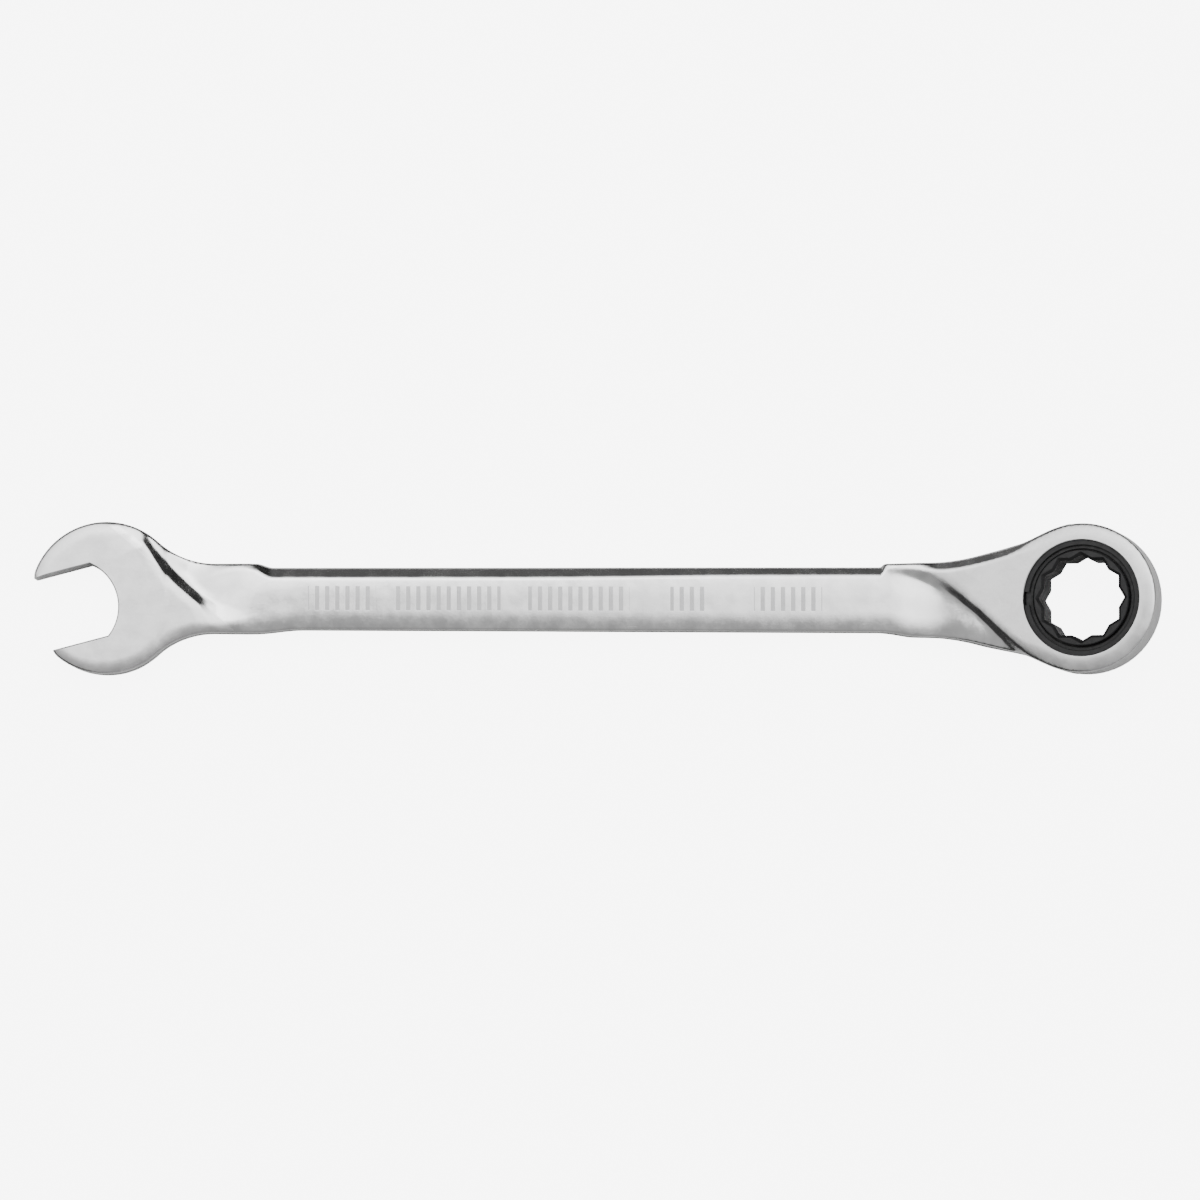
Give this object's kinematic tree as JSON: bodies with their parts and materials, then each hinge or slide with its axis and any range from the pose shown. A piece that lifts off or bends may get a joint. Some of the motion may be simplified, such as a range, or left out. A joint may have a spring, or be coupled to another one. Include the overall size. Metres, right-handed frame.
{
  "type": "ratcheting combination wrench",
  "caption": "Long satin chrome combination wrench with an open jaw at one end and a black twelve-point ratcheting box ring, tilted for knuckle room, at the other.",
  "frame": {"origin": "middle of the bounding box, on the plane that the wrench lies on with its back down", "axes": "+X from the open jaw to the box ring, +Y across the beam, +Z out of the front face, towards which the ring is raised"},
  "size_m": [0.29, 0.0392, 0.0221],
  "materials": {
    "body_chrome": "satin",
    "black_steel": "satin",
    "tool_steel": "satin",
    "spring_steel": "gloss",
    "seal_rubber": "matte"
  },
  "bodies": {
    "wrench": {"wrench_body": "body_chrome", "cover_plate": "black_steel", "retaining_ring": "black_steel", "spring_guide_pin": "spring_steel", "pawl_spring": "spring_steel"},
    "gear": {"ratchet_gear": "black_steel", "seal_ring": "seal_rubber"},
    "pawl": {"pawl": "tool_steel"}
  },
  "joints": [
    {"name": "gear_spin", "type": "hinge", "parent": "wrench", "child": "gear", "pos_m": [0.12475, 0, 0.01103], "axis": [-0.2588, 0, 0.9659], "continuous": true},
    {"name": "pawl_slide", "type": "slide", "parent": "wrench", "child": "pawl", "axis": [-0.9659, 0, -0.2588], "range_m": [0, 0.0008], "stiffness_N_per_m": 900, "springref_m": -0.0015, "deforming": ["pawl_spring"]}
  ]
}
